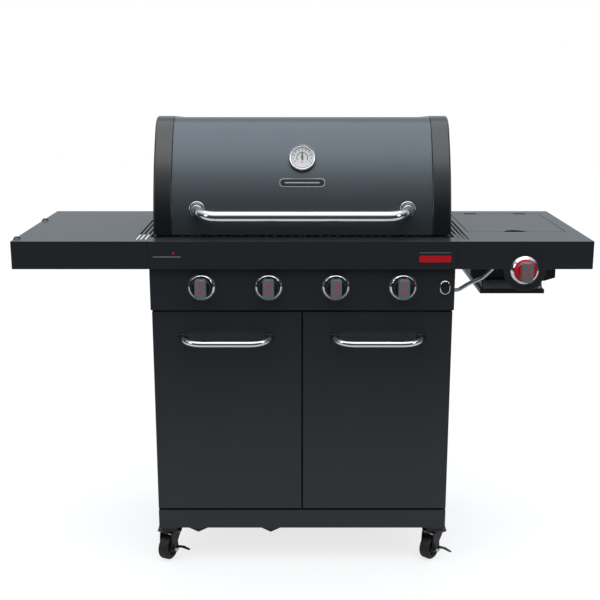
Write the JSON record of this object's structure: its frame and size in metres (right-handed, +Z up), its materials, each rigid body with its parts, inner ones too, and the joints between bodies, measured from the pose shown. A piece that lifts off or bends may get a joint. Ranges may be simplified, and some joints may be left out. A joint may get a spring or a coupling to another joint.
{
  "type": "gas barbecue grill",
  "caption": "Gas barbecue grill on a cabinet cart with hinged lid, doors, side shelves, burner knobs and swivel casters.",
  "frame": {"origin": "on the ground, in the middle of the footprint rectangle", "axes": "+X to the right as the user faces the grill, +Y from front to back, +Z up"},
  "size_m": [1.37, 0.518, 1.1087],
  "materials": {
    "charcoal_paint": "satin textured powder coat",
    "black_paint": "satin black heat-proof enamel",
    "lid_paint": "satin metallic grey-blue powder coat",
    "cast_iron": "matt enamelled cast iron",
    "chrome": "polished",
    "steel": "brushed",
    "zinc": "dull zinc plate",
    "black_plastic": "fine-grained moulding",
    "red_plastic": "glossy moulding",
    "tyre": "matt rubber",
    "dial_white": "printed dial",
    "glass": "clear"
  },
  "bodies": {
    "cart": {"side_panel_left": "charcoal_paint", "side_panel_right": "charcoal_paint", "rear_panel": "charcoal_paint", "bottom_shelf": "charcoal_paint", "plinth_rail": "charcoal_paint", "front_beam": "charcoal_paint", "control_panel": "charcoal_paint", "side_shelf_left": "charcoal_paint", "side_shelf_right": "charcoal_paint", "firebox": "black_paint", "side_burner_tub": "black_paint", "grate_left": "cast_iron", "grate_right": "cast_iron", "side_burner_head": "cast_iron", "side_burner_grate": "cast_iron", "warming_rack": "chrome", "burner_1": "steel", "burner_2": "steel", "burner_3": "steel", "burner_4": "steel", "emitter_left": "steel", "emitter_right": "steel", "gas_manifold": "zinc", "side_burner_valve": "zinc", "side_burner_gas_tube": "zinc", "ignition_module": "black_plastic"},
    "lid": {"lid_shell": "lid_paint", "lid_cap_left": "black_paint", "lid_cap_right": "black_paint", "lid_handle": "chrome", "thermometer_case": "chrome"},
    "thermometer_needle": {"thermometer_needle": "black_paint"},
    "door_left": {"door_left": "charcoal_paint", "door_handle_left": "chrome"},
    "door_right": {"door_right": "charcoal_paint", "door_handle_right": "chrome"},
    "grease_tray": {"grease_tray": "steel", "grease_cup": "steel"},
    "side_burner_cover": {"side_burner_cover": "charcoal_paint"},
    "rocker_switch": {"rocker_switch": "black_plastic"},
    "stem_1": {"valve_stem_1": "steel"},
    "knob_1": {"knob_1": "black_plastic"},
    "stem_2": {"valve_stem_2": "steel"},
    "knob_2": {"knob_2": "black_plastic"},
    "stem_3": {"valve_stem_3": "steel"},
    "knob_3": {"knob_3": "black_plastic"},
    "stem_4": {"valve_stem_4": "steel"},
    "knob_4": {"knob_4": "black_plastic"},
    "side_burner_stem": {"side_burner_stem": "steel"},
    "side_burner_knob": {"side_burner_knob": "red_plastic"},
    "fork_front_left": {"caster_fork_front_left": "black_paint"},
    "wheel_front_left": {"caster_wheel_front_left": "tyre"},
    "pedal_front_left": {"brake_pedal_front_left": "black_paint"},
    "fork_front_right": {"caster_fork_front_right": "black_paint"},
    "wheel_front_right": {"caster_wheel_front_right": "tyre"},
    "pedal_front_right": {"brake_pedal_front_right": "black_paint"},
    "fork_rear_left": {"caster_fork_rear_left": "black_paint"},
    "wheel_rear_left": {"caster_wheel_rear_left": "tyre"},
    "fork_rear_right": {"caster_fork_rear_right": "black_paint"},
    "wheel_rear_right": {"caster_wheel_rear_right": "tyre"}
  },
  "joints": [
    {"name": "lid_hinge", "type": "hinge", "parent": "cart", "child": "lid", "pos_m": [0, 0.229, 0.86], "axis": [-1, 0, 0], "range_deg": [0, 88]},
    {"name": "needle_turn", "type": "hinge", "parent": "lid", "child": "thermometer_needle", "pos_m": [0, -0.1142, 1.013], "axis": [0, -0.8943, 0.4475], "range_deg": [-115, 125]},
    {"name": "door_left_hinge", "type": "hinge", "parent": "cart", "child": "door_left", "pos_m": [-0.352, -0.196, 0.4], "axis": [0, 0, -1], "range_deg": [0, 110]},
    {"name": "door_right_hinge", "type": "hinge", "parent": "cart", "child": "door_right", "pos_m": [0.352, -0.196, 0.4], "axis": [0, 0, 1], "range_deg": [0, 110]},
    {"name": "tray_slide", "type": "slide", "parent": "cart", "child": "grease_tray", "axis": [0, 1, 0], "range_m": [0, 0.36]},
    {"name": "side_cover_hinge", "type": "hinge", "parent": "cart", "child": "side_burner_cover", "pos_m": [0.53, 0.201, 0.8285], "axis": [-1, 0, 0], "range_deg": [0, 95]},
    {"name": "rocker_tip", "type": "hinge", "parent": "cart", "child": "rocker_switch", "pos_m": [0.34, -0.209, 0.717], "axis": [1, 0, 0], "range_deg": [0, 14]},
    {"name": "knob_1_push", "type": "slide", "parent": "cart", "child": "stem_1", "axis": [0, 1, 0], "range_m": [0, 0.004], "stiffness_N_per_m": 800, "springref_m": -0.002},
    {"name": "knob_1_turn", "type": "hinge", "parent": "stem_1", "child": "knob_1", "pos_m": [-0.24, -0.211, 0.718], "axis": [0, -1, 0], "range_deg": [0, 210]},
    {"name": "knob_2_push", "type": "slide", "parent": "cart", "child": "stem_2", "axis": [0, 1, 0], "range_m": [0, 0.004], "stiffness_N_per_m": 800, "springref_m": -0.002},
    {"name": "knob_2_turn", "type": "hinge", "parent": "stem_2", "child": "knob_2", "pos_m": [-0.08, -0.211, 0.718], "axis": [0, -1, 0], "range_deg": [0, 210]},
    {"name": "knob_3_push", "type": "slide", "parent": "cart", "child": "stem_3", "axis": [0, 1, 0], "range_m": [0, 0.004], "stiffness_N_per_m": 800, "springref_m": -0.002},
    {"name": "knob_3_turn", "type": "hinge", "parent": "stem_3", "child": "knob_3", "pos_m": [0.08, -0.211, 0.718], "axis": [0, -1, 0], "range_deg": [0, 210]},
    {"name": "knob_4_push", "type": "slide", "parent": "cart", "child": "stem_4", "axis": [0, 1, 0], "range_m": [0, 0.004], "stiffness_N_per_m": 800, "springref_m": -0.002},
    {"name": "knob_4_turn", "type": "hinge", "parent": "stem_4", "child": "knob_4", "pos_m": [0.24, -0.211, 0.718], "axis": [0, -1, 0], "range_deg": [0, 210]},
    {"name": "side_knob_push", "type": "slide", "parent": "cart", "child": "side_burner_stem", "axis": [0, 1, 0], "range_m": [0, 0.004], "stiffness_N_per_m": 800, "springref_m": -0.002},
    {"name": "side_knob_turn", "type": "hinge", "parent": "side_burner_stem", "child": "side_burner_knob", "pos_m": [0.525, -0.223, 0.761], "axis": [0, -1, 0], "range_deg": [0, 210]},
    {"name": "swivel_front_left", "type": "hinge", "parent": "cart", "child": "fork_front_left", "pos_m": [-0.336, -0.171, 0.078], "axis": [0, 0, 1], "continuous": true},
    {"name": "roll_front_left", "type": "hinge", "parent": "fork_front_left", "child": "wheel_front_left", "pos_m": [-0.34234, -0.1846, 0.0305], "axis": [0.9063, -0.4226, 0], "continuous": true},
    {"name": "brake_front_left", "type": "hinge", "parent": "fork_front_left", "child": "pedal_front_left", "pos_m": [-0.32195, -0.1941, 0.0305], "axis": [-0.4226, -0.9063, 0], "range_deg": [0, 25]},
    {"name": "swivel_front_right", "type": "hinge", "parent": "cart", "child": "fork_front_right", "pos_m": [0.336, -0.171, 0.078], "axis": [0, 0, 1], "continuous": true},
    {"name": "roll_front_right", "type": "hinge", "parent": "fork_front_right", "child": "wheel_front_right", "pos_m": [0.32636, -0.18249, 0.0305], "axis": [0.766, -0.6428, 0], "continuous": true},
    {"name": "brake_front_right", "type": "hinge", "parent": "fork_front_right", "child": "pedal_front_right", "pos_m": [0.34359, -0.19695, 0.0305], "axis": [-0.6428, -0.766, 0], "range_deg": [0, 25]},
    {"name": "swivel_rear_left", "type": "hinge", "parent": "cart", "child": "fork_rear_left", "pos_m": [-0.336, 0.202, 0.078], "axis": [0, 0, 1], "continuous": true},
    {"name": "roll_rear_left", "type": "hinge", "parent": "fork_rear_left", "child": "wheel_rear_left", "pos_m": [-0.34234, 0.1884, 0.0305], "axis": [0.9063, -0.4226, 0], "continuous": true},
    {"name": "swivel_rear_right", "type": "hinge", "parent": "cart", "child": "fork_rear_right", "pos_m": [0.336, 0.202, 0.078], "axis": [0, 0, 1], "continuous": true},
    {"name": "roll_rear_right", "type": "hinge", "parent": "fork_rear_right", "child": "wheel_rear_right", "pos_m": [0.32805, 0.18928, 0.0305], "axis": [0.848, -0.5299, 0], "continuous": true}
  ]
}
